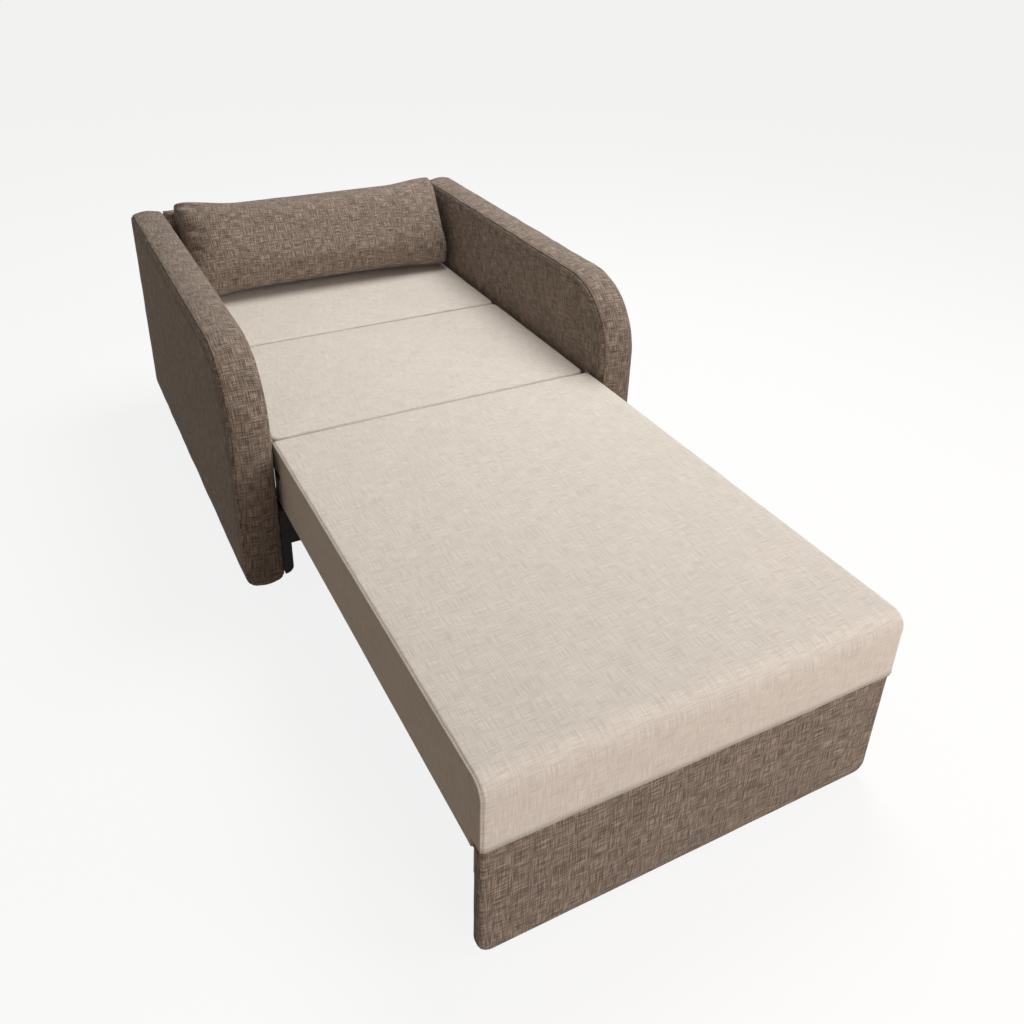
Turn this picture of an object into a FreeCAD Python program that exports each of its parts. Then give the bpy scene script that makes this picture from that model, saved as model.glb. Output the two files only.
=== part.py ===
import FreeCAD, Part
import math
import os
import Sketcher
from FreeCAD import Placement, Rotation, Vector

# Chair bed with an accordion mattress, modelled pulled out as a bed. Millimetres.
# X runs across the bed, +Y towards the back, +Z up. The origin lies on the floor under
# the middle of the whole length. Left is -X.

doc = FreeCAD.newDocument("chair_bed")

# Driving dimensions
driving = [
    ("mattressWidth", 800, "width of the three mattress sections"),
    ("sideGap", 12, "mattress side to the arm"),
    ("seatHeight", 385, "floor to the top of the mattress"),
    ("frontLength", 1030, "pull-out section, front edge to front pivot"),
    ("sectionLength", 500, "pivot to pivot of each folding section"),
    ("sectionGap", 5, "gap between neighbouring sections"),
    ("padThickness", 65, "foam of all three sections"),
    ("padInset", 0.5, "foam inside the board's edge"),
    ("padRound", 12, "rounding along the upper pad edges"),
    ("padCorner", 18, "corner radius of the folding pads seen from above"),
    ("noseRound", 30, "roll of the pull-out's pad over the front edge"),
    ("seamRound", 6, "rounding along the pull-out's side seams"),
    ("boardThickness", 15, "plywood under the foam"),
    ("sideSkirt", 149, "mattress top to the lower edge of the side boards"),
    ("sideBoard", 25, "thickness of the pull-out's side boards"),
    ("frontSkirt", 131, "mattress top to the lower edge of the pale apron"),
    ("apron", 28, "thickness of the foam apron"),
    ("panelSetback", 3, "dark front panel behind the apron"),
    ("panelFloorGap", 15, "dark front panel above the floor"),
    ("panelCorner", 24, "lower corners of the dark front panel"),
    ("panelEdge", 5, "front edges of the dark front panel"),
    ("frontBoard", 18, "plywood behind the front panel"),
    ("frontBoardGap", 60, "plywood behind the front panel, above the floor"),
    ("battenWide", 30, "stiffener under the pull-out's platform"),
    ("battenDeep", 28, "height of that stiffener"),
    ("battenInset", 170, "mattress side to that stiffener"),
    ("armThickness", 90, "arm, outside"),
    ("armRise", 225, "arm above the mattress"),
    ("armFloorGap", 40, "arm above the floor"),
    ("armLead", 61, "arm in front of the front pivot"),
    ("armFrontRound", 178, "upper front curve of the arm"),
    ("armFootRound", 30, "lower front curve of the arm"),
    ("armRearRound", 52, "lower rear curve of the arm"),
    ("armCrownRound", 26, "upper rear curve of the arm"),
    ("armEdgeRound", 11, "long edges of the arm"),
    ("coverFoam", 12, "foam and fabric over the arm and back frames"),
    ("armSkin", 4, "side sheets of the arm frame"),
    ("armRail", 62, "width of the arm frame's ring"),
    ("backClearance", 12, "rear pivot to the back"),
    ("backThickness", 28, "back, with its padding"),
    ("backDrop", 6, "top of the back below the arms"),
    ("backRise", 20, "foot of the back above the foot of the arms"),
    ("backEdge", 9, "upper edges of the back"),
    ("backBoard", 9, "plywood inside the back"),
    ("sideRail", 20, "board along the foot of each arm"),
    ("sideRailFloorGap", 62, "that board above the floor"),
    ("sideRailRound", 18, "rounding of its lower inner edge"),
    ("skirtClearance", 3.3, "pull-out's side boards above the base"),
    ("stretcher", 20, "thickness of the cross rails"),
    ("railFloorGap", 143, "cross rails above the floor"),
    ("stretcherLead", 55, "front cross rail in front of the front pivot"),
    ("bearerWide", 40, "long rail that carries the sections"),
    ("bearerInset", 60, "mattress side to that rail"),
    ("glideWide", 20, "nylon strip on that rail"),
    ("glideThick", 3, "thickness of the nylon strip"),
    ("restClearance", 0.3, "section underside to nylon strip"),
    ("pivotDepth", 8, "front and rear pivots below the mattress top"),
    ("hingeDrop", 4, "middle pivot below the section's underside"),
    ("plateThick", 2.5, "hinge plate"),
    ("plateGap", 0.5, "play between the two layers of a hinge"),
    ("plateHalf", 8, "half height of a hinge plate and radius of its eyes"),
    ("elbowSetback", 15, "bend of a hinge plate from its upper pivot"),
    ("seatPlateReach", 48, "front pivot to the far end of its plate"),
    ("pinRadius", 4, "hinge pin"),
    ("pinPlay", 0.05, "radial play of the hinge pin"),
    ("pinInset", 0.2, "inner end of the pin from the board"),
    ("pinHead", 7, "radius of the pin's head"),
    ("pinHeadThick", 2, "thickness of the pin's head"),
    ("packerInset", 40, "ends of the packing strip from the pivots"),
    ("packerPlay", 1, "folded rear plate to the packing strip"),
    ("blockDrop", 62, "rear pivot to the foot of its block"),
    ("wheelRadius", 25, "castor wheel"),
    ("wheelWide", 22, "width of the castor wheel"),
    ("wheelEdge", 4, "rounding of the castor's tread"),
    ("wheelPlay", 0.06, "radial play of the wheel on its axle"),
    ("axleRadius", 4, "castor axle"),
    ("axleEnd", 2, "axle beyond the fork"),
    ("forkThick", 2.5, "castor fork sheet"),
    ("forkPlay", 1, "wheel to fork, each side"),
    ("forkHeight", 62, "floor to the top of the castor"),
    ("forkHalf", 20, "half length of the fork's top plate"),
    ("forkEye", 9, "half width of the fork at the axle"),
    ("castorInset", 70, "mattress side to the middle of the castor"),
    ("postWide", 60, "castor post, across the bed"),
    ("postDeep", 60, "castor post, along the bed"),
    ("footRadius", 20, "arm foot at the floor"),
    ("footTopRadius", 24, "arm foot at the arm"),
    ("footInset", 120, "arm foot from the ends of the arm"),
    ("pillowSideGap", 7, "ends of the loose pillow to the arms"),
    ("pillowThick", 168, "thickness of the pillow"),
    ("pillowHigh", 276, "height of the pillow"),
    ("pillowRound", 76, "rounding of its long edges"),
    ("pillowEnd", 40, "rounding of its ends"),
    ("pillowLean", 32, "lean against the back, in degrees"),
    ("pillowGap", 0.6, "pillow to what it leans on"),
]

sizes = doc.addObject("Spreadsheet::Sheet", "Sizes")
for row, (name, number, note) in enumerate(driving, 1):
    sizes.set("A%d" % row, note)
    sizes.set("B%d" % row, str(number))
    sizes.setAlias("B%d" % row, name)

# Places worked out from the driving dimensions. A name ending in X, Y or Z is a place
# seen from the origin, and any other is a length.
derived = [
    ("halfWidth", "Sizes.mattressWidth / 2"),
    ("wholeLength", "Sizes.frontLength + 2 * Sizes.sectionLength + Sizes.backClearance"
                    " + Sizes.backThickness"),
    ("frontY", "-wholeLength / 2"),
    ("seamY", "frontY + Sizes.frontLength"),
    ("middleY", "seamY + Sizes.sectionLength"),
    ("rearY", "middleY + Sizes.sectionLength"),
    ("backY", "rearY + Sizes.backClearance"),
    ("endY", "backY + Sizes.backThickness"),
    ("halfGap", "Sizes.sectionGap / 2"),
    ("topZ", "1 * Sizes.seatHeight"),
    ("boardTopZ", "topZ - Sizes.padThickness"),
    ("boardLowZ", "boardTopZ - Sizes.boardThickness"),
    ("pivotZ", "topZ - Sizes.pivotDepth"),
    ("hingeZ", "boardLowZ - Sizes.hingeDrop"),
    ("plateZ", "(boardTopZ + boardLowZ) / 2"),
    ("padX", "halfWidth - Sizes.padInset"),
    ("padWidth", "2 * padX"),
    ("seatRearY", "seamY - halfGap"),
    ("middleFrontY", "seamY + halfGap"),
    ("middleRearY", "middleY - halfGap"),
    ("rearFrontY", "middleY + halfGap"),
    ("rearRearY", "rearY - halfGap"),
    ("frameY", "frontY + Sizes.apron"),
    ("panelY", "frontY + Sizes.panelSetback"),
    ("panelThick", "frameY - panelY"),
    ("apronLowZ", "topZ - Sizes.frontSkirt"),
    ("apronHigh", "boardTopZ - apronLowZ"),
    ("panelLowZ", "1 * Sizes.panelFloorGap"),
    ("skirtLowZ", "topZ - Sizes.sideSkirt"),
    ("boardInnerX", "halfWidth - Sizes.sideBoard"),
    ("frontBoardY", "frameY + Sizes.frontBoard"),
    ("armInnerX", "halfWidth + Sizes.sideGap"),
    ("armOuterX", "armInnerX + Sizes.armThickness"),
    ("armMiddleX", "armInnerX + Sizes.armThickness / 2"),
    ("armFrontY", "seamY - Sizes.armLead"),
    ("armTopZ", "topZ + Sizes.armRise"),
    ("armLowZ", "1 * Sizes.armFloorGap"),
    ("coreInnerX", "armInnerX + Sizes.coverFoam"),
    ("coreWidth", "Sizes.armThickness - 2 * Sizes.coverFoam"),
    ("trayWidth", "coreWidth - Sizes.armSkin"),
    ("trayInnerX", "coreInnerX + Sizes.armSkin"),
    ("trayDepth", "trayWidth - Sizes.armSkin"),
    ("coreFrontY", "armFrontY + Sizes.coverFoam"),
    ("coreEndY", "endY - Sizes.coverFoam"),
    ("coreLowZ", "armLowZ + Sizes.coverFoam"),
    ("coreTopZ", "armTopZ - Sizes.coverFoam"),
    ("coreFrontRound", "Sizes.armFrontRound - Sizes.coverFoam"),
    ("coreFootRound", "Sizes.armFootRound - Sizes.coverFoam"),
    ("coreRearRound", "Sizes.armRearRound - Sizes.coverFoam"),
    ("coreCrownRound", "Sizes.armCrownRound - Sizes.coverFoam"),
    ("windowFrontY", "coreFrontY + Sizes.armRail"),
    ("windowEndY", "coreEndY - Sizes.armRail"),
    ("windowLowZ", "coreLowZ + Sizes.armRail"),
    ("windowTopZ", "coreTopZ - Sizes.armRail"),
    ("backTopZ", "armTopZ - Sizes.backDrop"),
    ("backLowZ", "armLowZ + Sizes.backRise"),
    ("backWidth", "2 * armInnerX"),
    ("backBoardY", "(backY + endY - Sizes.backBoard) / 2"),
    ("railInnerX", "armInnerX - Sizes.sideRail"),
    ("railLowZ", "1 * Sizes.railFloorGap"),
    ("sideRailLowZ", "1 * Sizes.sideRailFloorGap"),
    ("railTopZ", "skirtLowZ - Sizes.skirtClearance"),
    ("stretcherY", "seamY - Sizes.stretcherLead"),
    ("glideTopZ", "boardLowZ - Sizes.restClearance"),
    ("glideLowZ", "glideTopZ - Sizes.glideThick"),
    ("layerTwoX", "halfWidth + Sizes.plateThick + Sizes.plateGap"),
    ("layerEndX", "layerTwoX + Sizes.plateThick"),
    ("pinInnerX", "halfWidth + Sizes.pinInset"),
    ("pinHeadX", "layerEndX + Sizes.pinHeadThick"),
    ("pinBore", "Sizes.pinRadius + Sizes.pinPlay"),
    ("stubLength", "armInnerX - pinInnerX"),
    ("blockThick", "armInnerX - layerTwoX"),
    ("blockOffset", "layerTwoX - pinInnerX"),
    ("rearElbowY", "rearY - Sizes.elbowSetback"),
    ("middleElbowY", "seamY + Sizes.elbowSetback"),
    ("seatElbowY", "seamY - Sizes.elbowSetback"),
    ("seatPlateY", "seamY - Sizes.seatPlateReach"),
    ("blockFootZ", "pivotZ - Sizes.blockDrop"),
    ("packerLowZ", "hingeZ + Sizes.plateHalf + Sizes.packerPlay"),
    ("battenX", "halfWidth - Sizes.battenInset"),
    ("bearerX", "halfWidth - Sizes.bearerInset"),
    ("bearerMiddleX", "bearerX - Sizes.bearerWide / 2"),
    ("castorX", "halfWidth - Sizes.castorInset"),
    ("castorY", "frontBoardY + Sizes.postDeep / 2"),
    ("wheelZ", "1 * Sizes.wheelRadius"),
    ("wheelBore", "Sizes.axleRadius + Sizes.wheelPlay"),
    ("wheelStartX", "castorX - Sizes.wheelWide / 2"),
    ("slotHalf", "Sizes.wheelWide / 2 + Sizes.forkPlay"),
    ("slotWidth", "2 * slotHalf"),
    ("forkWidth", "slotWidth + 2 * Sizes.forkThick"),
    ("forkStartX", "castorX - slotHalf - Sizes.forkThick"),
    ("forkEndX", "forkStartX + forkWidth"),
    ("forkTopZ", "1 * Sizes.forkHeight"),
    ("slotTopZ", "forkTopZ - Sizes.forkThick"),
    ("forkLowZ", "wheelZ - Sizes.forkEye"),
    ("forkFrontY", "castorY - Sizes.forkHalf"),
    ("forkRearY", "castorY + Sizes.forkHalf"),
    ("eyeFrontY", "castorY - Sizes.forkEye"),
    ("eyeRearY", "castorY + Sizes.forkEye"),
    ("pillowFlatA", "Sizes.pillowThick / 2 - Sizes.pillowRound"),
    ("pillowFlatB", "Sizes.pillowHigh / 2 - Sizes.pillowRound"),
    ("pillowHalfY", "pillowFlatA * cos(Sizes.pillowLean * 1deg)"
                    " + pillowFlatB * sin(Sizes.pillowLean * 1deg) + Sizes.pillowRound"),
    ("pillowHalfZ", "pillowFlatB * cos(Sizes.pillowLean * 1deg)"
                    " + pillowFlatA * sin(Sizes.pillowLean * 1deg) + Sizes.pillowRound"),
    ("pillowY", "backY - Sizes.pillowGap - pillowHalfY"),
    ("pillowZ", "topZ + Sizes.pillowGap + pillowHalfZ"),
    ("pillowX", "armInnerX - Sizes.pillowSideGap"),
    ("pillowWidth", "2 * pillowX"),
    ("pillowHalfThick", "Sizes.pillowThick / 2"),
    ("pillowHalfHigh", "Sizes.pillowHigh / 2"),
]

places = doc.addObject("Spreadsheet::Sheet", "Places")
for row, (name, formula) in enumerate(derived, 1):
    places.set("A%d" % row, name)
    places.setAlias("B%d" % row, name)
for row, (name, formula) in enumerate(derived, 1):
    places.set("B%d" % row, "=" + formula)
doc.recompute()

sides = (("left", -1), ("right", 1))
subparts = []


def value(ref):
    """Number behind a reference such as Places.seamY or -Sizes.apron."""
    sign = -1.0 if ref.startswith("-") else 1.0
    sheet, alias = ref.lstrip("-").split(".")
    return sign * float(getattr(doc.getObject(sheet), alias))


def finish(obj, label):
    """Gives a finished sub-part its name and notes it for export."""
    obj.Label = label
    subparts.append(obj)
    return obj


def bind_base(obj, **formulas):
    """Ties an object's place to the sheets."""
    for axis, formula in formulas.items():
        obj.setExpression("Placement.Base." + axis, formula)


def box(name, low, high):
    """A Part::Box between two corners given as formulas."""
    obj = doc.addObject("Part::Box", name)
    for prop, a, b in zip(("Length", "Width", "Height"), low, high):
        obj.setExpression(prop, "(%s) - (%s)" % (b, a))
    bind_base(obj, x=low[0], y=low[1], z=low[2])
    return obj


def side_box(name, sign, inner, outer, low, high):
    """A box on one side of the middle line, from its inner to its outer distance."""
    if sign > 0:
        return box(name, (inner,) + low, (outer,) + high)
    return box(name, ("-(%s)" % outer,) + low, ("-(%s)" % inner,) + high)


def side_rod(name, sign, radius, inner, outer, y, z):
    """A Part::Cylinder along X on one side of the middle line."""
    obj = doc.addObject("Part::Cylinder", name)
    obj.Placement = Placement(Vector(), Rotation(Vector(0, 1, 0), 90))
    obj.setExpression("Radius", radius)
    obj.setExpression("Height", "(%s) - (%s)" % (outer, inner))
    bind_base(obj, x=inner if sign > 0 else "-(%s)" % outer, y=y, z=z)
    return obj


def boolean(kind, name, base, tool):
    """A Part::Cut or Part::Fuse of two objects."""
    obj = doc.addObject("Part::" + kind, name)
    obj.Base = base
    obj.Tool = tool
    return obj


def new_body(name):
    return doc.addObject("PartDesign::Body", name)


def new_sketch(body, role, offset=None):
    """A sketch on one of the body's own origin planes, or parallel to it."""
    sketch = body.newObject("Sketcher::SketchObject", body.Name + "Sketch")
    plane = [item for item in body.Origin.OriginFeatures if item.Role == role][0]
    sketch.AttachmentSupport = (plane, "")
    sketch.MapMode = "FlatFace"
    if offset:
        sketch.setExpression("AttachmentOffset.Base.z", offset)
    return sketch


def bind(sketch, constraint, name, formula):
    """Adds a constraint and ties it to the sheets."""
    index = sketch.addConstraint(constraint)
    sketch.renameConstraint(index, name)
    sketch.setExpression("Constraints." + name, formula)


def polygon(sketch, corners):
    """A closed outline whose corners are pairs of references to the sheets."""
    spots = [Vector(value(u), value(v), 0) for u, v in corners]
    lines = []
    for number, spot in enumerate(spots):
        following = spots[(number + 1) % len(spots)]
        lines.append(sketch.addGeometry(Part.LineSegment(spot, following)))
    for number, line in enumerate(lines):
        following = lines[(number + 1) % len(lines)]
        sketch.addConstraint(Sketcher.Constraint("Coincident", line, 2, following, 1))
    for number, (u, v) in enumerate(corners):
        across = Sketcher.Constraint("DistanceX", -1, 1, lines[number], 1, spots[number].x)
        bind(sketch, across, "across%d" % number, u)
        upward = Sketcher.Constraint("DistanceY", -1, 1, lines[number], 1, spots[number].y)
        bind(sketch, upward, "upward%d" % number, v)


def rectangle(sketch, left, right, low, high):
    """An upright rectangle between references to the sheets."""
    polygon(sketch, ((left, low), (right, low), (right, high), (left, high)))


def circle(sketch, tag, u, v, radius):
    """A full circle, its centre and radius tied to the sheets."""
    centre = Vector(value(u), value(v), 0)
    index = sketch.addGeometry(Part.Circle(centre, Vector(0, 0, 1), value(radius)))
    bind(sketch, Sketcher.Constraint("Radius", index, value(radius)), tag + "Radius", radius)
    bind(sketch, Sketcher.Constraint("DistanceX", -1, 1, index, 3, centre.x), tag + "X", u)
    bind(sketch, Sketcher.Constraint("DistanceY", -1, 1, index, 3, centre.y), tag + "Y", v)


def round_bar(sketch, start, end, radius):
    """A bar with round ends between two centres."""
    centres = [Vector(value(u), value(v), 0) for u, v in (start, end)]
    along = centres[1] - centres[0]
    heading = math.atan2(along.y, along.x)
    quarter = math.pi / 2
    arcs = []
    for centre, first in zip(centres, (heading + quarter, heading - quarter)):
        rim = Part.Circle(centre, Vector(0, 0, 1), value(radius))
        arcs.append(sketch.addGeometry(Part.ArcOfCircle(rim, first, first + math.pi)))
    lines = []
    for one, other in ((0, 1), (1, 0)):
        edge = Part.LineSegment(sketch.getPoint(arcs[one], 2), sketch.getPoint(arcs[other], 1))
        lines.append(sketch.addGeometry(edge))
    for one, other in ((0, 1), (1, 0)):
        sketch.addConstraint(Sketcher.Constraint("Tangent", arcs[one], 2, lines[one], 1))
        sketch.addConstraint(Sketcher.Constraint("Tangent", lines[one], 2, arcs[other], 1))
    sketch.addConstraint(Sketcher.Constraint("Equal", arcs[0], arcs[1]))
    bind(sketch, Sketcher.Constraint("Radius", arcs[0], value(radius)), "radius", radius)
    for index, centre, word, place in zip(arcs, centres, ("start", "end"), (start, end)):
        across = Sketcher.Constraint("DistanceX", -1, 1, index, 3, centre.x)
        bind(sketch, across, word + "X", place[0])
        upward = Sketcher.Constraint("DistanceY", -1, 1, index, 3, centre.y)
        bind(sketch, upward, word + "Y", place[1])


def pad(body, sketch, length, sign=1):
    """Pads a sketch along the normal of its plane, or against it."""
    feature = body.newObject("PartDesign::Pad", body.Name + "Pad")
    feature.Profile = sketch
    feature.Reversed = sign < 0
    feature.setExpression("Length", length)
    doc.recompute()
    return feature


def pocket(body, sketch, length, sign=1):
    """Cuts a sketch along the normal of its plane, or against it."""
    before = body.Shape.Volume
    feature = body.newObject("PartDesign::Pocket", body.Name + "Pocket")
    feature.Profile = sketch
    feature.Reversed = sign > 0
    feature.setExpression("Length", length)
    doc.recompute()
    if body.Shape.Volume > before - 1:
        raise RuntimeError(body.Name + ": the pocket cuts nothing")
    return feature


def round_edges(body, feature, keep, radius):
    """Fillets the edges of a feature that keep() picks."""
    names = []
    for number, edge in enumerate(feature.Shape.Edges, 1):
        if keep(edge):
            names.append("Edge%d" % number)
    fillet = body.newObject("PartDesign::Fillet", body.Name + "Fillet")
    fillet.Base = (feature, names)
    fillet.setExpression("Radius", radius)
    doc.recompute()
    return fillet


def lies(edge, **spot):
    """True where the whole edge lies at the given coordinates."""
    points = [vertex.Point for vertex in edge.Vertexes] + [edge.CenterOfMass]
    for axis, place in spot.items():
        if any(abs(getattr(point, axis) - place) > 1e-4 for point in points):
            return False
    return True


# Arms: a padded cover over a wooden box of two side sheets and a ring
def arm_block(name, sign, start, length, outline, rounds):
    """The arm's side outline, or its core's, as a block with four rounded corners."""
    front, end, low, high = outline
    body = new_body(name)
    sketch = new_sketch(body, "YZ_Plane")
    rectangle(sketch, front, end, low, high)
    feature = pad(body, sketch, length, sign)
    corners = ((front, low), (end, low), (end, high), (front, high))
    for (along, upward), radius in zip(corners, rounds):
        y, z = value(along), value(upward)
        feature = round_edges(body, feature, lambda edge: lies(edge, y=y, z=z), radius)
    bind_base(body, x=start if sign > 0 else "-" + start)
    return body, feature


arm_outline = ("Places.armFrontY", "Places.endY", "Places.armLowZ", "Places.armTopZ")
arm_rounds = ("Sizes.armFootRound", "Sizes.armRearRound", "Sizes.armCrownRound",
              "Sizes.armFrontRound")
core_outline = ("Places.coreFrontY", "Places.coreEndY", "Places.coreLowZ", "Places.coreTopZ")
core_rounds = ("Places.coreFootRound", "Places.coreRearRound", "Places.coreCrownRound",
               "Places.coreFrontRound")

for side, sign in sides:
    blank, feature = arm_block("armBlank" + side, sign, "Places.armInnerX", "Sizes.armThickness",
                               arm_outline, arm_rounds)
    faces = (0.0, sign * value("Sizes.armThickness"))
    round_edges(blank, feature, lambda edge: any(lies(edge, x=face) for face in faces),
                "Sizes.armEdgeRound")
    core, feature = arm_block("armCore" + side, sign, "Places.coreInnerX", "Places.coreWidth",
                              core_outline, core_rounds)
    cover = boolean("Cut", "armCover" + side, blank, core)
    finish(cover, "arm_cover_" + side)

    sheet, feature = arm_block("armSheet" + side, sign, "Places.coreInnerX", "Sizes.armSkin",
                               core_outline, core_rounds)
    finish(sheet, "arm_sheet_" + side)
    tray, feature = arm_block("armFrame" + side, sign, "Places.trayInnerX", "Places.trayWidth",
                              core_outline, core_rounds)
    window = new_sketch(tray, "YZ_Plane")
    rectangle(window, "Places.windowFrontY", "Places.windowEndY", "Places.windowLowZ",
              "Places.windowTopZ")
    pocket(tray, window, "Places.trayDepth", sign)
    finish(tray, "arm_frame_" + side)

    for end, place in (("front", "Places.armFrontY + Sizes.footInset"),
                       ("rear", "Places.endY - Sizes.footInset")):
        foot = doc.addObject("Part::Cone", "foot" + end + side)
        foot.setExpression("Radius1", "Sizes.footRadius")
        foot.setExpression("Radius2", "Sizes.footTopRadius")
        foot.setExpression("Height", "Places.armLowZ")
        bind_base(foot, x=("" if sign > 0 else "-") + "Places.armMiddleX", y=place)
        finish(foot, "foot_%s_%s" % (end, side))

# Back: a padded cover over a plywood board, between the arms
back_blank = new_body("backBlank")
sketch = new_sketch(back_blank, "YZ_Plane")
rectangle(sketch, "Places.backY", "Places.endY", "Places.backLowZ", "Places.backTopZ")
feature = pad(back_blank, sketch, "Places.backWidth")
crown = value("Places.backTopZ")
round_edges(back_blank, feature,
            lambda edge: any(lies(edge, y=value(place), z=crown)
                             for place in ("Places.backY", "Places.endY")), "Sizes.backEdge")
bind_base(back_blank, x="-Places.armInnerX")
back_board = box("backBoard",
                 ("-Places.armInnerX + Sizes.coverFoam", "Places.backBoardY",
                  "Places.backLowZ + Sizes.coverFoam"),
                 ("Places.armInnerX - Sizes.coverFoam", "Places.backBoardY + Sizes.backBoard",
                  "Places.backTopZ - Sizes.coverFoam"))
back_cover = boolean("Cut", "backCover", back_blank, back_board)
finish(back_cover, "back_cover")
finish(back_board, "back_board")

# Base: rails at the foot of the arms, cross rails, and two bearers with nylon strips
for side, sign in sides:
    rail = new_body("sideRail" + side)
    sketch = new_sketch(rail, "XZ_Plane", "-Places.backY")
    rectangle(sketch, "Places.railInnerX" if sign > 0 else "-Places.armInnerX",
              "Places.armInnerX" if sign > 0 else "-Places.railInnerX",
              "Places.sideRailLowZ", "Places.railTopZ")
    feature = pad(rail, sketch, "Places.backY - Places.stretcherY")
    inner, low = sign * value("Places.railInnerX"), value("Places.sideRailLowZ")
    round_edges(rail, feature, lambda edge: lies(edge, x=inner, z=low), "Sizes.sideRailRound")
    finish(rail, "side_rail_" + side)
    bearer = side_box("bearer" + side, sign, "Places.bearerX - Sizes.bearerWide", "Places.bearerX",
                      ("Places.stretcherY", "Places.railTopZ"), ("Places.backY", "Places.glideLowZ"))
    finish(bearer, "bearer_" + side)
    glide = side_box("glide" + side, sign, "Places.bearerMiddleX - Sizes.glideWide / 2",
                     "Places.bearerMiddleX + Sizes.glideWide / 2",
                     ("Places.stretcherY", "Places.glideLowZ"), ("Places.backY", "Places.glideTopZ"))
    finish(glide, "glide_strip_" + side)

for word, place in (("front", "Places.stretcherY"),
                    ("middle", "Places.middleY - Sizes.stretcher / 2"),
                    ("rear", "Places.backY - Sizes.stretcher")):
    cross = box(word + "Stretcher", ("-Places.railInnerX", place, "Places.railLowZ"),
                ("Places.railInnerX", place + " + Sizes.stretcher", "Places.railTopZ"))
    finish(cross, word + "_stretcher")

# Rear pivots: a block on the inside of each arm with a stub that the rear plate turns on
for side, sign in sides:
    block = new_body("rearPivot" + side)
    stub = new_sketch(block, "YZ_Plane")
    circle(stub, "stub", "Places.rearY", "Places.pivotZ", "Sizes.pinRadius")
    pad(block, stub, "Places.stubLength", sign)
    foot = new_sketch(block, "YZ_Plane", ("" if sign > 0 else "-") + "Places.blockOffset")
    round_bar(foot, ("Places.rearY", "Places.pivotZ"), ("Places.rearY", "Places.blockFootZ"),
              "Sizes.plateHalf")
    pad(block, foot, "Places.blockThick", sign)
    bind_base(block, x=("" if sign > 0 else "-") + "Places.pinInnerX")
    finish(block, "rear_pivot_" + side)


# Folding sections: a foam pad on a plywood board
def folding_section(word, front, rear):
    """A pad with rounded corners and upper edges, and the board that it lies on."""
    body = new_body(word + "Pad")
    sketch = new_sketch(body, "XY_Plane")
    rectangle(sketch, "-Places.padX", "Places.padX", front, rear)
    feature = pad(body, sketch, "Sizes.padThickness")
    half = value("Places.padX")
    feature = round_edges(body, feature,
                          lambda edge: lies(edge, x=half, y=value(front))
                          or lies(edge, x=-half, y=value(front))
                          or lies(edge, x=half, y=value(rear))
                          or lies(edge, x=-half, y=value(rear)), "Sizes.padCorner")
    thickness = value("Sizes.padThickness")
    round_edges(body, feature, lambda edge: lies(edge, z=thickness), "Sizes.padRound")
    bind_base(body, z="Places.boardTopZ")
    finish(body, word + "_pad")
    board = box(word + "Board", ("-Places.halfWidth", front, "Places.boardLowZ"),
                ("Places.halfWidth", rear, "Places.boardTopZ"))
    finish(board, word + "_board")


folding_section("rear", "Places.rearFrontY", "Places.rearRearY")
folding_section("middle", "Places.middleFrontY", "Places.middleRearY")


# Accordion hinges: plates on the boards' ends, in two layers beside the mattress
def hinge_plate(label, sign, start, route, eyes):
    """A bent plate along a route, with its pin holes."""
    body = new_body(label.replace("_", ""))
    for first, second in zip(route, route[1:]):
        sketch = new_sketch(body, "YZ_Plane")
        round_bar(sketch, first, second, "Sizes.plateHalf")
        pad(body, sketch, "Sizes.plateThick", sign)
    holes = new_sketch(body, "YZ_Plane")
    for number, (along, upward, radius) in enumerate(eyes):
        circle(holes, "eye%d" % number, along, upward, radius)
    pocket(body, holes, "Sizes.plateThick", sign)
    bind_base(body, x=("" if sign > 0 else "-") + start)
    return finish(body, label)


rear_pivot = ("Places.rearY", "Places.pivotZ")
elbow_pivot = ("Places.middleY", "Places.hingeZ")
seam_pivot = ("Places.seamY", "Places.pivotZ")

for side, sign in sides:
    hinge_plate("rear_plate_" + side, sign, "Places.halfWidth",
                (rear_pivot, ("Places.rearElbowY", "Places.plateZ"), elbow_pivot),
                (rear_pivot + ("Places.pinBore",), elbow_pivot + ("Places.pinBore",)))
    hinge_plate("middle_plate_" + side, sign, "Places.layerTwoX",
                (seam_pivot, ("Places.middleElbowY", "Places.plateZ"), elbow_pivot),
                (seam_pivot + ("Sizes.pinRadius",), elbow_pivot + ("Sizes.pinRadius",)))
    hinge_plate("seat_plate_" + side, sign, "Places.halfWidth",
                (seam_pivot, ("Places.seatElbowY", "Places.plateZ"),
                 ("Places.seatPlateY", "Places.plateZ")),
                (seam_pivot + ("Places.pinBore",),))
    packer = side_box("packer" + side, sign, "Places.halfWidth", "Places.layerTwoX",
                      ("Places.seamY + Sizes.packerInset", "Places.packerLowZ"),
                      ("Places.middleY - Sizes.packerInset", "Places.boardTopZ"))
    finish(packer, "middle_packer_" + side)
    for word, (along, upward) in (("elbow", elbow_pivot), ("seam", seam_pivot)):
        shaft = side_rod(word + "Shaft" + side, sign, "Sizes.pinRadius", "Places.pinInnerX",
                         "Places.layerEndX", along, upward)
        head = side_rod(word + "Head" + side, sign, "Sizes.pinHead", "Places.layerEndX",
                        "Places.pinHeadX", along, upward)
        rivet = boolean("Fuse", word + "Pin" + side, shaft, head)
        finish(rivet, "%s_pin_%s" % (word, side))

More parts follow.
